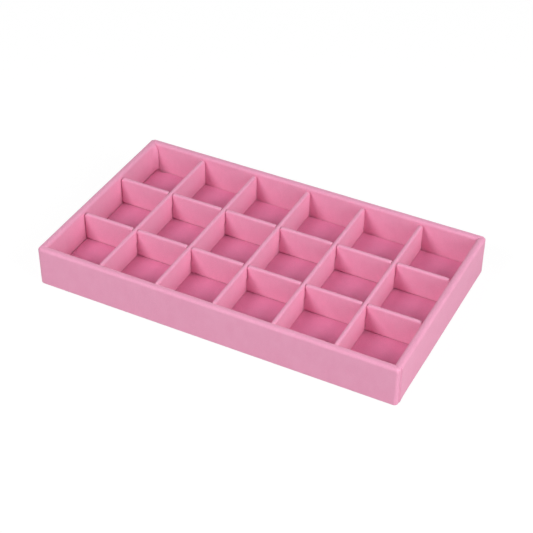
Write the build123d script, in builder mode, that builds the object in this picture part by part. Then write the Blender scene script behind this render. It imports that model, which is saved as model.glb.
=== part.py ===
from build123d import *
import os

# Velvet jewelry tray with a cross-lapped divider grid, in millimetres.
# The origin is the middle of the underside; X runs along the tray, Z is up.

# Tray, outside sizes over the velvet
tray_length = 300.0
tray_width = 173.0
tray_height = 34.0
corner_radius = 3.0
rim_radius = 2.4
base_edge_radius = 1.2

# Velvet and board thicknesses
velvet = 0.8
wall_board = 4.4
base_board_thickness = 4.0
floor_card_thickness = 1.9
divider_card_thickness = 1.8

# Compartments
columns = 6
rows = 3
divider_drop = 2.0
divider_end_radius = 3.0
divider_top_radius = 1.5
end_divider_shift = 1.2
row_shift = -1.0

# Underside
turn_under = 12.0

# Clearances
floor_gap = 0.4
divider_end_gap = 0.8
divider_rest_gap = 0.2
slot_gap = 0.4
slot_overrun = 0.2
sheet_gap = 0.5

# Places that follow from the sizes above
wall = wall_board + 2 * velvet
inner_length = tray_length - 2 * wall
inner_width = tray_width - 2 * wall
bay_length = inner_length + 2 * velvet
bay_width = inner_width + 2 * velvet
base_top = velvet + base_board_thickness
card_top = base_top + floor_card_thickness
floor_top = card_top + velvet
divider_thickness = divider_card_thickness + 2 * velvet
divider_bottom = floor_top + divider_rest_gap
divider_top = tray_height - divider_drop
divider_middle = (divider_bottom + divider_top) / 2
slot_width = divider_thickness + 2 * slot_gap


def divider_places(inside, cells):
    """Centres of the dividers that part a length into equal cells."""
    pitch = (inside + divider_thickness) / cells
    return [pitch * (i - cells / 2) for i in range(1, cells)]


short_places = divider_places(inner_length, columns)
short_places[-1] += end_divider_shift
long_places = [y + row_shift for y in divider_places(inner_width, rows)]

os.makedirs("parts", exist_ok=True)


def save(part, name):
    part.label = name
    export_step(part, f"parts/{name}.step")


# Ring of wall boards, before it is cut into four
with BuildPart() as wall_ring:
    with BuildSketch(Plane.XY.offset(velvet)):
        RectangleRounded(tray_length - 2 * velvet, tray_width - 2 * velvet, corner_radius - velvet)
        Rectangle(bay_length, bay_width, mode=Mode.SUBTRACT)
    extrude(amount=tray_height - 2 * velvet)
    fillet(wall_ring.faces().sort_by(Axis.Z)[-1].edges(), rim_radius - velvet)
    fillet(wall_ring.faces().sort_by(Axis.Z)[0].outer_wire().edges(), base_edge_radius - velvet)

# The long walls run the whole length, and the end walls stand between them
wall_cuts = {
    "front_wall_board": (0, -(bay_width + wall_board) / 2, tray_length, wall_board),
    "back_wall_board": (0, (bay_width + wall_board) / 2, tray_length, wall_board),
    "left_wall_board": (-(bay_length + wall_board) / 2, 0, wall_board, bay_width),
    "right_wall_board": ((bay_length + wall_board) / 2, 0, wall_board, bay_width),
}
for board_name, (x, y, size_x, size_y) in wall_cuts.items():
    with BuildPart() as wall_piece:
        add(wall_ring.part)
        with BuildSketch():
            with Locations((x, y)):
                Rectangle(size_x, size_y)
        extrude(amount=tray_height, mode=Mode.INTERSECT)
    save(wall_piece.part, board_name)

# Bottom board, glued between the walls
with BuildPart() as base_board:
    with BuildSketch(Plane.XY.offset(velvet)):
        Rectangle(bay_length, bay_width)
    extrude(amount=base_board_thickness)
save(base_board.part, "base_board")

# One velvet strip round the walls, over the rim, down inside and turned under the base
with BuildPart() as wall_cover:
    with BuildSketch():
        RectangleRounded(tray_length, tray_width, corner_radius)
    extrude(amount=tray_height)
    with BuildSketch(Plane.XY.offset(base_top)):
        Rectangle(inner_length, inner_width)
    extrude(amount=tray_height - base_top, mode=Mode.SUBTRACT)
    fillet(wall_cover.faces().sort_by(Axis.Z)[-1].edges(), rim_radius)
    fillet(wall_cover.faces().sort_by(Axis.Z)[0].outer_wire().edges(), base_edge_radius)
    add(wall_ring.part, mode=Mode.SUBTRACT)
    with BuildSketch(Plane.XY.offset(velvet)):
        Rectangle(bay_length, bay_width)
    extrude(amount=base_board_thickness, mode=Mode.SUBTRACT)
    with BuildSketch():
        Rectangle(tray_length - 2 * turn_under, tray_width - 2 * turn_under)
    extrude(amount=velvet, mode=Mode.SUBTRACT)
save(wall_cover.part, "wall_cover")

# Sheet under the base, inside the turned-under velvet
with BuildPart() as base_sheet:
    sheet_inset = 2 * (turn_under + sheet_gap)
    with BuildSketch():
        Rectangle(tray_length - sheet_inset, tray_width - sheet_inset)
    extrude(amount=velvet)
save(base_sheet.part, "base_sheet")

# Floor card, dropped in on the bottom board
panel_length = inner_length - 2 * floor_gap
panel_width = inner_width - 2 * floor_gap
with BuildPart() as floor_card:
    with BuildSketch(Plane.XY.offset(base_top)):
        Rectangle(panel_length - 2 * velvet, panel_width - 2 * velvet)
    extrude(amount=floor_card_thickness)
save(floor_card.part, "floor_card")

# Velvet over the floor card and round its edges
with BuildPart() as floor_cover:
    with BuildSketch(Plane.XY.offset(base_top)):
        Rectangle(panel_length, panel_width)
    extrude(amount=floor_card_thickness + velvet)
    add(floor_card.part, mode=Mode.SUBTRACT)
save(floor_cover.part, "floor_cover")


def divider_pieces(plane, length, crossings, slots_on_top, name):
    """A divider's card and its velvet sleeve.

    The plane's x runs along the divider and its y is up. Each crossing is the
    place of a slot along it, open at the top or at the bottom.
    """
    card_length = length - 2 * velvet
    card_top_edge = divider_top - velvet
    if slots_on_top:
        slot_low = divider_middle - slot_overrun
        slot_high = tray_height
    else:
        slot_low = 0
        slot_high = divider_middle + slot_overrun
    slot_centres = [(place, (slot_low + slot_high) / 2) for place in crossings]

    with BuildPart() as blank:
        with BuildSketch(plane) as card_face:
            with Locations((0, (divider_bottom + card_top_edge) / 2)):
                Rectangle(card_length, card_top_edge - divider_bottom)
            fillet(card_face.vertices().group_by(Axis.Z)[-1], divider_end_radius - velvet)
        extrude(amount=divider_card_thickness / 2, both=True)

    with BuildPart() as cover:
        with BuildSketch(plane) as cover_face:
            with Locations((0, (divider_bottom + divider_top) / 2)):
                Rectangle(length, divider_top - divider_bottom)
            fillet(cover_face.vertices().group_by(Axis.Z)[-1], divider_end_radius)
        extrude(amount=divider_thickness / 2, both=True)
        sides = cover.faces().filter_by(plane).sort_by(Axis(plane.origin, plane.z_dir))
        bottom_edges = cover.edges().group_by(Axis.Z)[0]
        fillet([edge for side in (sides[0], sides[-1]) for edge in side.edges()
                if edge not in bottom_edges], divider_top_radius)
        add(blank.part, mode=Mode.SUBTRACT)
        with BuildSketch(plane):
            with Locations(*slot_centres):
                Rectangle(slot_width, slot_high - slot_low)
        extrude(amount=divider_thickness, both=True, mode=Mode.SUBTRACT)
    save(cover.part, f"{name}_cover")

    with BuildPart() as card:
        add(blank.part)
        with BuildSketch(plane):
            with Locations(*slot_centres):
                Rectangle(slot_width, slot_high - slot_low)
        extrude(amount=divider_thickness, both=True, mode=Mode.SUBTRACT)
    save(card.part, f"{name}_card")


# Long dividers, slotted from the top
long_length = inner_length - 2 * divider_end_gap
for y, side in zip(long_places, ("front", "back")):
    divider_pieces(Plane((0, y, 0), x_dir=(1, 0, 0), z_dir=(0, -1, 0)), long_length,
                   short_places, True, f"{side}_long_divider")

# Short dividers, slotted from the bottom, from left to right
short_length = inner_width - 2 * divider_end_gap
for number, x in enumerate(short_places, start=1):
    divider_pieces(Plane((x, 0, 0), x_dir=(0, 1, 0), z_dir=(1, 0, 0)), short_length,
                   long_places, False, f"short_divider_{number}")
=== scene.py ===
import math

import bmesh
import bpy
from mathutils import Matrix, Vector, noise


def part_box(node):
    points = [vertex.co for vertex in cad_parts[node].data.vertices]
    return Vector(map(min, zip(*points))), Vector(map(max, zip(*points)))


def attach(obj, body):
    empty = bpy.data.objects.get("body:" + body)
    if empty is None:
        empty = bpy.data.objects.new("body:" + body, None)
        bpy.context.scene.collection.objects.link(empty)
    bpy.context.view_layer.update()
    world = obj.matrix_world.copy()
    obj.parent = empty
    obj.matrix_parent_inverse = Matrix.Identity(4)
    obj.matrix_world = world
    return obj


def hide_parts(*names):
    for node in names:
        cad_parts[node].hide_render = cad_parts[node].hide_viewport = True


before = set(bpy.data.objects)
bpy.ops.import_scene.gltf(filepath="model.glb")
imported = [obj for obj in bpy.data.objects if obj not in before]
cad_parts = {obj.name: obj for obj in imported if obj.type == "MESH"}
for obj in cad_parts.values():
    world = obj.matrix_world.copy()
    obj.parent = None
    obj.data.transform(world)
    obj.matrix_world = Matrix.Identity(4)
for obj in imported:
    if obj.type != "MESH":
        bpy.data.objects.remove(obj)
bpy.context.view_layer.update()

mm = 0.001

# Places read from the frame

tray_low, tray_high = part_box("wall_cover")
tray_length = tray_high[0] - tray_low[0]
tray_width = tray_high[1] - tray_low[1]
tray_height = tray_high[2]
panel_low, panel_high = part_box("floor_cover")
base_top = panel_low[2]
floor_top = panel_high[2]
velvet = base_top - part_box("base_board")[1][2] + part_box("base_board")[0][2]
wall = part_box("left_wall_board")[1][0] - tray_low[0] + velvet
short_names = [f"short_divider_{number}" for number in range(1, 6)]
long_names = ["front_long_divider", "back_long_divider"]


def middle(node, axis):
    low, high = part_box(node)
    return (low[axis] + high[axis]) / 2


short_places = [middle(f"{name}_cover", 0) for name in short_names]
long_places = [middle(f"{name}_cover", 1) for name in long_names]


# Shader maths

class Value:
    """A shader socket that numbers and other sockets can be added to, multiplied by and so on."""

    def __init__(self, nodes, socket):
        self.nodes = nodes
        self.socket = socket

    def maths(self, operation, other):
        return self.nodes.add("ShaderNodeMath", {"operation": operation}, {0: self, 1: other})

    def __add__(self, other):
        return self.maths("ADD", other)

    def __mul__(self, other):
        return self.maths("MULTIPLY", other)


class Nodes:
    """The nodes of one material or of the world."""

    def __init__(self, owner, output_kind="ShaderNodeOutputMaterial"):
        self.owner = owner
        owner.use_nodes = True
        self.tree = owner.node_tree
        self.tree.nodes.clear()
        self.output = self.tree.nodes.new(output_kind)

    def add(self, kind, settings=None, inputs=None, output=0):
        node = self.tree.nodes.new(kind)
        for key, value in (settings or {}).items():
            setattr(node, key, value)
        for key, value in (inputs or {}).items():
            if isinstance(value, Value):
                self.tree.links.new(value.socket, node.inputs[key])
            else:
                node.inputs[key].default_value = value
        return Value(self, node.outputs[output])

    def mix(self, factor, first, second, blend="MIX"):
        return self.add("ShaderNodeMix", {"data_type": "RGBA", "blend_type": blend},
                        {0: factor, 6: first, 7: second}, output=2)

    def noise(self, scale, detail, roughness, vector=None):
        return self.add("ShaderNodeTexNoise", None,
                        {"Scale": scale, "Detail": detail, "Roughness": roughness,
                         "Vector": vector or self.place()})

    def place(self):
        return self.add("ShaderNodeTexCoord", output="Object")

    def finish(self, shader):
        self.tree.links.new(shader.socket, self.output.inputs["Surface"])
        return self.owner


def rgb(red, green, blue):
    """A colour written as it shows on screen, from 0 to 255, as Blender's linear one."""
    def linear(level):
        share = level / 255
        return share / 12.92 if share <= 0.04045 else ((share + 0.055) / 1.055) ** 2.4
    return (linear(red), linear(green), linear(blue), 1.0)


def velvet_material(name, pile, shade, sheen_tint, sheen):
    """Pressed velvet: brushed patches, fine pile speckle and a soft sheen at grazing angles."""
    nodes = Nodes(bpy.data.materials.new(name))
    patches = nodes.noise(110.0, 3.0, 0.55)
    streaks_place = nodes.add("ShaderNodeMapping", None,
                              {"Vector": nodes.place(), "Scale": (260.0, 260.0, 90.0)})
    streaks = nodes.noise(1.0, 2.0, 0.6, streaks_place)
    speckle = nodes.noise(2600.0, 2.0, 0.7)
    brushed = patches * 0.6 + streaks * 0.4
    brushed = nodes.add("ShaderNodeMapRange", None, {"Value": brushed, "From Min": 0.36, "From Max": 0.64})
    base = nodes.mix(brushed, shade, pile)
    fleck = nodes.add("ShaderNodeMapRange", None,
                      {"Value": speckle, "From Min": 0.3, "From Max": 0.7, "To Min": 0.90, "To Max": 1.07})
    fleck_colour = nodes.add("ShaderNodeCombineColor", None, {0: fleck, 1: fleck, 2: fleck})
    colour = nodes.mix(1.0, base, fleck_colour, "MULTIPLY")
    tufts = nodes.noise(1500.0, 3.0, 0.65)
    height = tufts * 0.7 + patches * 0.3
    bump = nodes.add("ShaderNodeBump", None, {"Strength": 0.35, "Distance": 0.0004, "Height": height})
    roughness = speckle * 0.12 + 0.84
    surface = nodes.add("ShaderNodeBsdfPrincipled", None,
                        {"Base Color": colour, "Roughness": roughness, "Normal": bump,
                         "Specular IOR Level": 0.12, "Sheen Weight": sheen,
                         "Sheen Roughness": 0.38, "Sheen Tint": sheen_tint})
    return nodes.finish(surface)


def board_material(name, light, dark, fibre_scale):
    """Pressed fibre: fine mottling and short fibres."""
    nodes = Nodes(bpy.data.materials.new(name))
    mottle = nodes.noise(fibre_scale, 6.0, 0.7)
    fibre_place = nodes.add("ShaderNodeMapping", None,
                            {"Vector": nodes.place(), "Scale": (300.0, 1400.0, 1400.0)})
    fibres = nodes.noise(1.0, 3.0, 0.6, fibre_place)
    colour = nodes.mix(mottle * 0.6 + fibres * 0.4, dark, light)
    bump = nodes.add("ShaderNodeBump", None, {"Strength": 0.25, "Distance": 0.0003, "Height": fibres})
    surface = nodes.add("ShaderNodeBsdfPrincipled", None,
                        {"Base Color": colour, "Roughness": fibres * 0.15 + 0.75, "Normal": bump})
    return nodes.finish(surface)


pink_velvet = velvet_material("pink_velvet", rgb(246, 171, 202), rgb(244, 166, 198), rgb(255, 222, 226), 0.65)
# The floor panel's velvet is a darker copy of the wall velvet, in the same fabric: painted shade for the cell
# floors.
painted_shade_velvet = velvet_material("painted_shade_velvet", rgb(240, 152, 190), rgb(237, 147, 186), rgb(255, 205, 220), 0.3)
fibreboard = board_material("fibreboard", rgb(196, 166, 128), rgb(158, 126, 90), 700.0)
grey_card = board_material("grey_card", rgb(190, 182, 168), rgb(158, 150, 136), 900.0)
flocked_paper = velvet_material("flocked_paper", rgb(218, 140, 172), rgb(208, 124, 160),
                                rgb(250, 205, 222), 0.2)


# Meshes

def ripple(place, size, scale):
    """A smooth rise and fall of up to size, for hand-pulled velvet."""
    return noise.noise(place * scale) * size


def finish_piece(piece, material, body, slot, *nodes):
    piece.data.materials.clear()
    piece.data.materials.append(material)
    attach(piece, body)
    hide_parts(*nodes)
    return piece


def new_piece(name, mesh):
    piece = bpy.data.objects.new(name, mesh)
    bpy.context.scene.collection.objects.link(piece)
    return piece


def mesh_from(name, points, faces):
    mesh = bpy.data.meshes.new(name)
    mesh.from_pydata(points, [], faces)
    mesh.validate()
    tidy = bmesh.new()
    tidy.from_mesh(mesh)
    bmesh.ops.remove_doubles(tidy, verts=tidy.verts, dist=1e-6)
    bmesh.ops.recalc_face_normals(tidy, faces=tidy.faces)
    tidy.to_mesh(mesh)
    tidy.free()
    mesh.shade_smooth()
    return mesh


def arc(centre, radius, start, end, steps):
    """Points of an arc in (inset, height), by angles in degrees."""
    points = []
    for step in range(steps + 1):
        angle = math.radians(start + (end - start) * step / steps)
        points.append((centre[0] + radius * math.cos(angle), centre[1] + radius * math.sin(angle)))
    return points


def run(start, end, steps):
    """Points between two places in (inset, height), without the ends."""
    return [(start[0] + (end[0] - start[0]) * step / steps, start[1] + (end[1] - start[1]) * step / steps)
            for step in range(1, steps)]


# The velvet strip round the walls

rim_radius = 2.4 * mm
base_edge_radius = 1.2 * mm
outer_corner_radius = 3.0 * mm
inner_corner_radius = 0.7 * mm
turn_under = 12.0 * mm
path_step = 1.6 * mm
corner_steps = 8
seam_from_corner = 4.5 * mm
seam_lift = 0.35 * mm
seam_fade = 7.0 * mm
seam_crease = 0.7 * mm
seam_crease_width = 0.2 * mm
seam_offsets = (-0.5 * mm, -0.04 * mm, 0.04 * mm, 0.6 * mm)
side_easing = 0.12
fold_depth = 0.5 * mm
fold_half_angle = 22.0
bow_depth = 3.4 * mm
bow_reach = 8.0 * mm
bow_start = 0.5 * mm
bow_softness = 3.2 * mm
bow_floor_fade = 0.8 * mm
wall_ripple = 0.10 * mm
wall_ripple_scale = 55.0
flat_edge_height = 0.5 * mm


def wall_section():
    """The strip's cross-section as a closed loop of (inset, height), with True for the showing side."""
    low = base_edge_radius
    high = tray_height - rim_radius
    outer = [(turn_under, 0.0)] + run((turn_under, 0.0), (low, 0.0), 5)
    outer += arc((low, low), low, 270, 180, 4)
    outer += run((0.0, low), (0.0, high), 22)
    outer += arc((rim_radius, high), rim_radius, 180, 90, 8)
    outer += run((rim_radius, tray_height), (wall - rim_radius, tray_height), 2)
    outer += arc((wall - rim_radius, high), rim_radius, 90, 0, 8)
    outer += run((wall, high), (wall, base_top), 20) + [(wall, base_top)]
    thin = rim_radius - velvet
    inner = [(wall - velvet, base_top)] + run((wall - velvet, base_top), (wall - velvet, high), 6)
    inner += arc((wall - rim_radius, high), thin, 0, 90, 4)
    inner += arc((rim_radius, high), thin, 90, 180, 4)
    inner += run((velvet, high), (velvet, low), 6)
    inner += arc((low, low), low - velvet, 180, 270, 2)
    inner += [(turn_under, velvet)]
    showing = [(inset, height, True) for inset, height in outer]
    return showing + [(inset, height, False) for inset, height in inner]


def straight_steps(side, length):
    """Shares of a straight side, closer together near its ends and on both sides of the overlap seam."""
    count = int(length / path_step)
    shares = []
    for step in range(count + 1):
        eased = (1 - math.cos(math.pi * step / count)) / 2
        shares.append(eased * side_easing + step / count * (1 - side_easing))
    if side == 1:
        straight = length - 2 * outer_corner_radius
        seam = seam_from_corner - outer_corner_radius
        shares += [(seam + offset) / straight for offset in seam_offsets]
    return sorted(shares)


def ring_place(side, share, inset):
    """A point and outward direction on one straight side of the ring, at an inset from the outer face."""
    radius = ring_radius(inset)
    half_x = tray_length / 2 - inset
    half_y = tray_width / 2 - inset
    end_x = half_x - radius
    end_y = half_y - radius
    x0, y0, x1, y1 = [(-end_x, -half_y, end_x, -half_y), (half_x, -end_y, half_x, end_y),
                      (end_x, half_y, -end_x, half_y), (-half_x, end_y, -half_x, -end_y)][side]
    outward = [(0, -1), (1, 0), (0, 1), (-1, 0)][side]
    return Vector((x0 + (x1 - x0) * share, y0 + (y1 - y0) * share, 0)), Vector((*outward, 0))


def ring_radius(inset):
    share = min(inset / wall, 1.0)
    return outer_corner_radius + (inner_corner_radius - outer_corner_radius) * share


def ring_stations():
    """Places round the ring: (side, share, 0) on a straight run, (side, None, angle) on a corner."""
    stations = []
    for side, length in enumerate((tray_length, tray_width, tray_length, tray_width)):
        stations += [(side, share, 0.0) for share in straight_steps(side, length)]
        stations += [(side, None, 90.0 * step / corner_steps) for step in range(1, corner_steps)]
    return stations


def station_point(station, inset):
    side, share, angle = station
    if share is not None:
        return ring_place(side, share, inset)
    end, outward = ring_place(side, 1.0, inset)
    radius = ring_radius(inset)
    centre = end - outward * radius
    turned = Matrix.Rotation(math.radians(angle), 3, "Z") @ outward
    return centre + turned * radius, turned


def seam_rise(station, point):
    """The strip's overlap on the right end face: sunk before the seam and lifted after it."""
    side, share, angle = station
    if side != 1 or share is None:
        return 0.0
    past = point.y + tray_width / 2 - seam_from_corner
    if past < 0:
        crease = seam_crease if past > -seam_crease_width else 0.0
        return -seam_lift * max(0.0, 1 + past / seam_from_corner) - crease
    return seam_lift * max(0.0, 1 - past / seam_fade)


def corner_fold(station, inset, height):
    """A crease where the strip was cut and folded, inside each corner and over its rim."""
    side, share, angle = station
    if share is not None:
        return 0.0
    nearness = max(0.0, 1 - abs(angle - 45.0) / fold_half_angle)
    folded = inset > wall * 0.45 or height > tray_height - rim_radius * 0.8
    return fold_depth * nearness if folded else 0.0


def corner_bow(station, point, height):
    """The lining at the far left corner stands away from the walls, more so towards the floor."""
    side, share, angle = station
    if side == 2 and share is None:
        nearness = (angle / 90) ** 2
    elif side == 3 and share is not None:
        distance = tray_width / 2 - wall - inner_corner_radius - point.y
        nearness = max(0.0, 1 - distance / bow_reach) ** 2
    else:
        return Vector((0, 0, 0))
    depth = max(0.0, tray_height - height - bow_start)
    above_panel = min(max((height - floor_top) / bow_floor_fade, 0.0), 1.0)
    return Vector((bow_depth * (1 - math.exp(-depth / bow_softness)) * nearness * above_panel, 0, 0))


def wall_wrap():
    section = wall_section()
    stations = ring_stations()
    points = []
    for station in stations:
        for inset, height, shows in section:
            point, outward = station_point(station, inset)
            point.z = height
            if shows:
                facing_in = inset > wall / 2
                direction = -outward if facing_in else outward
                if height > tray_height - rim_radius * 0.5:
                    direction = Vector((0, 0, 1))
                on_edge = height < flat_edge_height
                if not on_edge:
                    point += direction * ripple(point, wall_ripple, wall_ripple_scale)
                if not facing_in and not on_edge:
                    point += outward * seam_rise(station, point)
                if facing_in:
                    point += corner_bow(station, point, height)
                point -= direction * corner_fold(station, inset, height)
            points.append(point)
    rows, columns = len(stations), len(section)
    faces = []
    for row in range(rows):
        for column in range(columns):
            after_row, after_column = (row + 1) % rows, (column + 1) % columns
            faces.append((row * columns + column, after_row * columns + column,
                          after_row * columns + after_column, row * columns + after_column))
    piece = new_piece("wall_velvet", mesh_from("wall_velvet", points, faces))
    return finish_piece(piece, pink_velvet, "tray", "velvet", "wall_cover")


# The velvet-covered floor panel

nick_place = 6.5 * mm
nick_reach = 4.5 * mm
nick_depth = 1.6 * mm
panel_ripple_scale = 30.0


def soft_slab(name, low, high, radius, step, size, nick=0.0):
    """A slab with soft edges, an uneven top, a flat underside and a nick near its far left corner."""
    length, width = high[0] - low[0], high[1] - low[1]
    columns, rows = int(length / step), int(width / step)

    def shares(count, extent):
        inner = [radius + (extent - 2 * radius) * i / (count - 1) for i in range(count)]
        curve = [radius * (1 - math.cos(math.radians(angle))) for angle in (22, 45, 68)]
        return [0.0] + curve + inner + [extent - value for value in reversed(curve)] + [extent]

    xs, ys = shares(columns, length), shares(rows, width)

    def edge_drop(x, y):
        near = min(x, length - x, y, width - y)
        if near >= radius:
            return 0.0
        return radius - math.sqrt(max(0.0, radius ** 2 - (radius - near) ** 2))

    points = []
    for y in ys:
        for x in xs:
            place = Vector((low[0] + x, low[1] + y, high[2] - edge_drop(x, y)))
            inside = min(x, length - x, y, width - y) > radius
            along_nick = max(0.0, 1 - abs(x - nick_place) / nick_reach)
            place.y -= nick * along_nick * max(0.0, 1 - (width - y) / nick_reach)
            place.z += ripple(place, size, panel_ripple_scale) - size if inside else -size
            points.append(place)
    top_count = len(points)
    points += [Vector((point.x, point.y, low[2])) for point in points]
    across, along = len(xs), len(ys)
    faces = []
    for row in range(along - 1):
        for column in range(across - 1):
            first = row * across + column
            quad = (first, first + 1, first + across + 1, first + across)
            faces.append(quad)
            faces.append(tuple(top_count + index for index in reversed(quad)))
    rim = list(range(across)) + [row * across + across - 1 for row in range(1, along)]
    rim += [(along - 1) * across + column for column in range(across - 2, -1, -1)]
    rim += [row * across for row in range(along - 2, 0, -1)]
    for index, here in enumerate(rim):
        after = rim[(index + 1) % len(rim)]
        faces.append((after, here, here + top_count, after + top_count))
    return new_piece(name, mesh_from(name, points, faces))


def floor_panel():
    piece = soft_slab("floor_velvet", panel_low, panel_high, 0.9 * mm, 1.8 * mm, 0.08 * mm, nick_depth)
    # The panel takes the darker copy of the wall velvet, painted shade for the cell floors.
    return finish_piece(piece, painted_shade_velvet, "tray", "floor_velvet", "floor_cover")


def underside_sheet():
    low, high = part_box("base_sheet")
    piece = soft_slab("underside_paper", low, high, 0.25 * mm, 8.0 * mm, 0.0)
    return finish_piece(piece, flocked_paper, "tray", "backing_paper", "base_sheet")


# Velvet sleeves of the dividers, as a geometry nodes tree

sleeve_edge_radius = 1.45 * mm
sleeve_end_radius = 3.0 * mm
sleeve_step = 0.5 * mm
sleeve_wobble = 0.2 * mm
sharp_angle = 42
end_zone = 4.0 * mm
end_rounding = 1.0 * mm
end_reach = 0.45 * mm
slot_gap = 0.25 * mm
lower_slot_gap = 0.45 * mm
slot_overrun = 0.2 * mm
slot_flare = 1.6 * mm
slot_rounding = 0.7 * mm


class Tree:
    """A geometry nodes tree with named inputs."""

    def __init__(self, name):
        self.group = bpy.data.node_groups.new(name, "GeometryNodeTree")
        self.group.is_modifier = True
        self.group.interface.new_socket("Geometry", in_out="INPUT", socket_type="NodeSocketGeometry")
        self.group.interface.new_socket("Geometry", in_out="OUTPUT", socket_type="NodeSocketGeometry")
        self.start = self.group.nodes.new("NodeGroupInput")
        self.end = self.group.nodes.new("NodeGroupOutput")

    def size(self, name, default):
        socket = self.group.interface.new_socket(name, in_out="INPUT", socket_type="NodeSocketFloat")
        socket.default_value = default
        return self.start.outputs[name]

    def material(self, name):
        self.group.interface.new_socket(name, in_out="INPUT", socket_type="NodeSocketMaterial")
        return self.start.outputs[name]

    def add(self, kind, settings=None, inputs=None, output=0):
        node = self.group.nodes.new(kind)
        for key, value in (settings or {}).items():
            setattr(node, key, value)
        for key, value in (inputs or {}).items():
            if isinstance(value, bpy.types.NodeSocket):
                self.group.links.new(value, node.inputs[key])
            else:
                node.inputs[key].default_value = value
        return node.outputs[output]

    def maths(self, operation, *values):
        return self.add("ShaderNodeMath", {"operation": operation}, dict(enumerate(values)))


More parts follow.
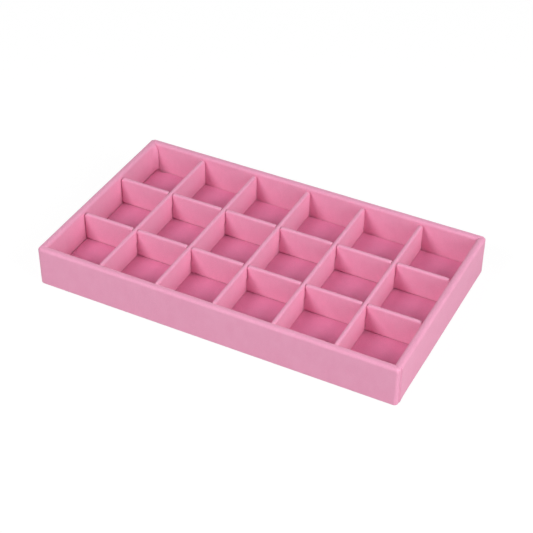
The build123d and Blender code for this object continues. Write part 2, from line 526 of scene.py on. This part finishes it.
def sleeve_tree():
    """A rounded sleeve along X, with a slot at each point of the incoming mesh."""
    tree = Tree("divider_sleeve")
    length = tree.size("Length", 0.1)
    bottom = tree.size("Bottom", 0.0)
    top = tree.size("Top", 0.03)
    thickness = tree.size("Thickness", 0.003)
    edge_radius = tree.size("Edge radius", 0.0015)
    end_radius = tree.size("End radius", 0.003)
    end_rounding = tree.size("End rounding", 0.001)
    slot_low = tree.size("Slot low", 0.0)
    slot_high = tree.size("Slot high", 0.01)
    slot_width = tree.size("Slot width", 0.004)
    slot_flare = tree.size("Slot flare", 0.0)
    slot_round = tree.size("Slot rounding", 0.001)
    step = tree.size("Step", 0.0008)
    wobble = tree.size("Wobble", 0.0001)
    material = tree.material("Velvet")
    maths = tree.maths

    half_length = maths("MULTIPLY", length, 0.5)
    start = tree.add("ShaderNodeCombineXYZ", None, {0: maths("MULTIPLY", half_length, -1.0)})
    end = tree.add("ShaderNodeCombineXYZ", None, {0: half_length})
    path = tree.add("GeometryNodeCurvePrimitiveLine", None, {"Start": start, "End": end})
    count = maths("DIVIDE", length, step)
    path = tree.add("GeometryNodeResampleCurve", None, {"Curve": path, "Count": count})

    height = maths("SUBTRACT", top, bottom)
    middle_height = maths("MULTIPLY", maths("ADD", top, bottom), 0.5)
    outline = tree.add("GeometryNodeCurvePrimitiveQuadrilateral", None,
                       {"Width": thickness, "Height": height})
    outline = tree.add("GeometryNodeFilletCurve", {"mode": "POLY"},
                       {"Curve": outline, "Count": 12, "Radius": edge_radius, "Limit Radius": True})
    outline = tree.add("GeometryNodeResampleCurve", None, {"Curve": outline, "Count": 96})
    sleeve = tree.add("GeometryNodeCurveToMesh", None,
                      {"Curve": path, "Profile Curve": outline, "Fill Caps": True})

    # The sleeve is rounded at its ends and where it folds into the slots
    place = tree.add("GeometryNodeInputPosition")
    along = tree.add("ShaderNodeSeparateXYZ", None, {0: place}, output=0)
    across = tree.add("ShaderNodeSeparateXYZ", None, {0: place}, output=1)
    up = tree.add("ShaderNodeSeparateXYZ", None, {0: place}, output=2)
    to_end = maths("SUBTRACT", half_length, maths("ABSOLUTE", along))
    near_end = maths("MINIMUM", to_end, end_zone)
    beyond = maths("MAXIMUM", maths("SUBTRACT", to_end, end_zone), 0.0)
    to_end = maths("ADD", maths("DIVIDE", maths("MULTIPLY", near_end, near_end), end_zone), beyond)
    along = maths("MULTIPLY", maths("SIGN", along), maths("SUBTRACT", half_length, to_end))

    on_axis = tree.add("ShaderNodeCombineXYZ", None, {0: along})
    to_crossing = tree.add("GeometryNodeProximity", {"target_element": "POINTS"},
                           {0: tree.start.outputs[0], "Sample Position": on_axis}, output=1)
    to_slot = maths("MAXIMUM", maths("SUBTRACT", to_crossing, maths("MULTIPLY", slot_width, 0.5)), 0.0)

    def quarter_round(radius, distance):
        short = maths("MAXIMUM", maths("SUBTRACT", radius, distance), 0.0)
        rest = maths("SUBTRACT", maths("MULTIPLY", radius, radius), maths("MULTIPLY", short, short))
        return maths("SUBTRACT", radius, maths("SQRT", maths("MAXIMUM", rest, 0.0)))

    share_up = maths("DIVIDE", maths("ADD", up, maths("MULTIPLY", height, 0.5)), height)
    steep = maths("POWER", maths("MAXIMUM", share_up, 0.0), 6.0)
    drop = maths("MAXIMUM", quarter_round(end_radius, to_end), quarter_round(slot_flare, to_slot))
    raised_place = maths("ADD", maths("SUBTRACT", up, maths("MULTIPLY", drop, steep)), middle_height)
    above_slot_low = maths("GREATER_THAN", raised_place, slot_low)
    below_slot_high = maths("LESS_THAN", raised_place, slot_high)
    in_slot = maths("MULTIPLY", above_slot_low, below_slot_high)
    half_thickness = maths("MULTIPLY", thickness, 0.5)
    pinch = maths("MAXIMUM", quarter_round(end_rounding, to_end),
                  maths("MULTIPLY", quarter_round(slot_round, to_slot), in_slot))
    narrowed = maths("MULTIPLY", across, maths("SUBTRACT", 1.0, maths("DIVIDE", pinch, half_thickness)))
    wave = tree.add("ShaderNodeTexNoise", None, {"Vector": place, "Scale": 60.0, "Detail": 1.0})
    sway = maths("MULTIPLY", maths("SUBTRACT", wave, 0.5), wobble)
    shaped = tree.add("ShaderNodeCombineXYZ", None,
                      {0: along, 1: maths("ADD", narrowed, sway), 2: raised_place})
    sleeve = tree.add("GeometryNodeSetPosition", None, {"Geometry": sleeve, "Position": shaped})

    # Slots for the crossing dividers
    slot_height = maths("SUBTRACT", slot_high, slot_low)
    cutter_size = tree.add("ShaderNodeCombineXYZ", None,
                           {0: slot_width, 1: maths("MULTIPLY", thickness, 3.0), 2: slot_height})
    cutter = tree.add("GeometryNodeMeshCube", None, {"Size": cutter_size})
    slot_middle = maths("MULTIPLY", maths("ADD", slot_high, slot_low), 0.5)
    raised = tree.add("ShaderNodeCombineXYZ", None, {2: slot_middle})
    cutter = tree.add("GeometryNodeTransform", None, {"Geometry": cutter, "Translation": raised})
    crossings = tree.add("GeometryNodeMeshToPoints", None, {"Mesh": tree.start.outputs[0]})
    cutters = tree.add("GeometryNodeInstanceOnPoints", None, {"Points": crossings, "Instance": cutter})
    cutters = tree.add("GeometryNodeRealizeInstances", None, {"Geometry": cutters})
    sleeve = tree.add("GeometryNodeMeshBoolean", {"operation": "DIFFERENCE"}, {0: sleeve, 1: cutters})
    sleeve = tree.add("GeometryNodeRealizeInstances", None, {"Geometry": sleeve})
    sleeve = tree.add("GeometryNodeSetMaterial", None, {"Geometry": sleeve, "Material": material})
    tree.group.links.new(sleeve, tree.end.inputs[0])
    return tree.group


def set_inputs(modifier, values):
    """Sets a tree's named inputs by their sockets' identifiers."""
    for item in modifier.node_group.interface.items_tree:
        if item.in_out == "INPUT" and item.name in values:
            modifier[item.identifier] = values[item.name]


def sleeve(tree, name, body, crossings, along_x, slots_on_top):
    low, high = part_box(f"{name}_cover")
    axis = 0 if along_x else 1
    centre = Vector(((low[0] + high[0]) / 2, (low[1] + high[1]) / 2, 0))
    thickness = high[1 - axis] - low[1 - axis]
    half_way = (low[2] + high[2]) / 2
    marks = [(place - centre[axis], 0, 0) for place in crossings]
    mesh = bpy.data.meshes.new(f"{name}_marks")
    mesh.from_pydata(marks, [], [])
    maker = new_piece(f"{name}_maker", mesh)
    modifier = maker.modifiers.new("sleeve", "NODES")
    modifier.node_group = tree
    set_inputs(modifier, {
        "Length": high[axis] - low[axis] + 2 * end_reach,
        "Bottom": low[2], "Top": high[2], "Thickness": thickness,
        "Edge radius": sleeve_edge_radius, "End radius": sleeve_end_radius, "End rounding": end_rounding,
        "Slot width": thickness + 2 * (slot_gap if slots_on_top else lower_slot_gap),
        "Slot low": half_way - slot_overrun if slots_on_top else low[2] - thickness,
        "Slot high": high[2] + thickness if slots_on_top else half_way + slot_overrun,
        "Slot flare": slot_flare if slots_on_top else 0.0, "Slot rounding": slot_rounding,
        "Step": sleeve_step, "Wobble": sleeve_wobble, "Velvet": pink_velvet})
    evaluated = maker.evaluated_get(bpy.context.evaluated_depsgraph_get())
    made = bpy.data.meshes.new_from_object(evaluated)
    bpy.data.objects.remove(maker)
    turn = Matrix.Identity(4) if along_x else Matrix.Rotation(math.radians(90), 4, "Z")
    made.transform(Matrix.Translation(centre) @ turn)
    made.name = f"{name}_velvet"
    made.shade_smooth()
    made.set_sharp_from_angle(angle=math.radians(sharp_angle))
    piece = new_piece(f"{name}_velvet", made)
    return finish_piece(piece, pink_velvet, body, "velvet", f"{name}_cover")


def dividers():
    tree = sleeve_tree()
    for name in long_names:
        sleeve(tree, name, "divider_grid", short_places, True, True)
    for name in short_names:
        sleeve(tree, name, name, long_places, False, False)


def hidden_boards():
    """The boards and cards keep their own meshes and get their finish."""
    for name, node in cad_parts.items():
        material = fibreboard if name.endswith("board") else grey_card if name.endswith("card") else None
        if material is None:
            continue
        for material_slot in node.material_slots:
            material_slot.material = material


wall_wrap()
floor_panel()
underside_sheet()
dividers()
hidden_boards()


# Studio

white = (1, 1, 1, 1)
floor_grey = (0.5, 0.5, 0.5, 1)
floor_glow = 1.17
floor_glow_share = 0.8
floor_reach = 6.0
floor_below = 0.0002
world_strength = 0.12


def floor_material():
    """White for the camera, with the object's shadow kept."""
    nodes = Nodes(bpy.data.materials.new("studio_floor"))
    plain = nodes.add("ShaderNodeBsdfDiffuse", None, {"Color": floor_grey})
    glow = nodes.add("ShaderNodeEmission", None, {"Color": white, "Strength": floor_glow})
    seen = nodes.add("ShaderNodeLightPath", output="Is Camera Ray")
    surface = nodes.add("ShaderNodeMixShader", None, {0: seen * floor_glow_share, 1: plain, 2: glow})
    return nodes.finish(surface)


def studio_floor():
    mesh = bpy.data.meshes.new("studio_floor")
    corners = [(-floor_reach, -floor_reach, 0), (floor_reach, -floor_reach, 0),
               (floor_reach, floor_reach, 0), (-floor_reach, floor_reach, 0)]
    mesh.from_pydata(corners, [], [(0, 1, 2, 3)])
    floor = new_piece("studio_floor", mesh)
    floor.location.z = -floor_below
    floor.data.materials.append(floor_material())


def soft_light(name, place, size, power):
    data = bpy.data.lights.new(name, "AREA")
    data.shape = "DISK"
    data.size = size
    data.energy = power
    light = bpy.data.objects.new(name, data)
    light.location = place
    light.rotation_euler = (-Vector(place)).to_track_quat("-Z", "Y").to_euler()
    bpy.context.scene.collection.objects.link(light)


def surroundings():
    """A white world, dimmed for every ray but those of the camera, mirrors and glass."""
    nodes = Nodes(bpy.data.worlds.new("studio"), "ShaderNodeOutputWorld")
    seen, mirrored, through = [nodes.add("ShaderNodeLightPath", output=ray) for ray in
                               ("Is Camera Ray", "Is Glossy Ray", "Is Transmission Ray")]
    bright = seen.maths("MAXIMUM", mirrored.maths("MAXIMUM", through))
    strength = nodes.add("ShaderNodeMapRange", None,
                         {"Value": bright, "To Min": world_strength, "To Max": 1.0})
    background = nodes.add("ShaderNodeBackground", None, {"Color": white, "Strength": strength})
    bpy.context.scene.world = nodes.finish(background)


# Camera, from the photograph's vanishing lines

frame_pixels = 533
camera_azimuth = 26.9
camera_elevation = 38.4
camera_roll = 0.38
camera_distance = 1.0909
camera_focal_pixels = 1393.2
camera_right = 0.00276
camera_up = 0.00795


def camera():
    azimuth = math.radians(camera_azimuth)
    elevation = math.radians(camera_elevation)
    roll = math.radians(camera_roll)
    back = Vector((math.sin(azimuth) * math.cos(elevation),
                   -math.cos(azimuth) * math.cos(elevation), math.sin(elevation)))
    level = Vector((math.cos(azimuth), math.sin(azimuth), 0))
    upright = back.cross(level)
    right = level * math.cos(roll) + upright * math.sin(roll)
    up = upright * math.cos(roll) - level * math.sin(roll)
    data = bpy.data.cameras.new("camera")
    data.sensor_width = 36.0
    data.lens = camera_focal_pixels / frame_pixels * data.sensor_width
    eye = bpy.data.objects.new("camera", data)
    place = back * camera_distance + right * camera_right + up * camera_up
    eye.matrix_world = Matrix.Translation(place) @ Matrix((right, up, back)).transposed().to_4x4()
    bpy.context.scene.collection.objects.link(eye)
    bpy.context.scene.camera = eye


studio_floor()
surroundings()
soft_light("key", (-0.47, -1.17, 1.02), 0.6, 13.8)
soft_light("right", (1.35, -0.2, 0.9), 1.2, 15.4)
soft_light("right_low", (1.6, -0.45, 0.4), 0.9, 6.5)
soft_light("back", (-1.1, 1.3, 0.45), 1.0, 5.0)
camera()

bpy.context.scene.view_settings.view_transform = "Standard"
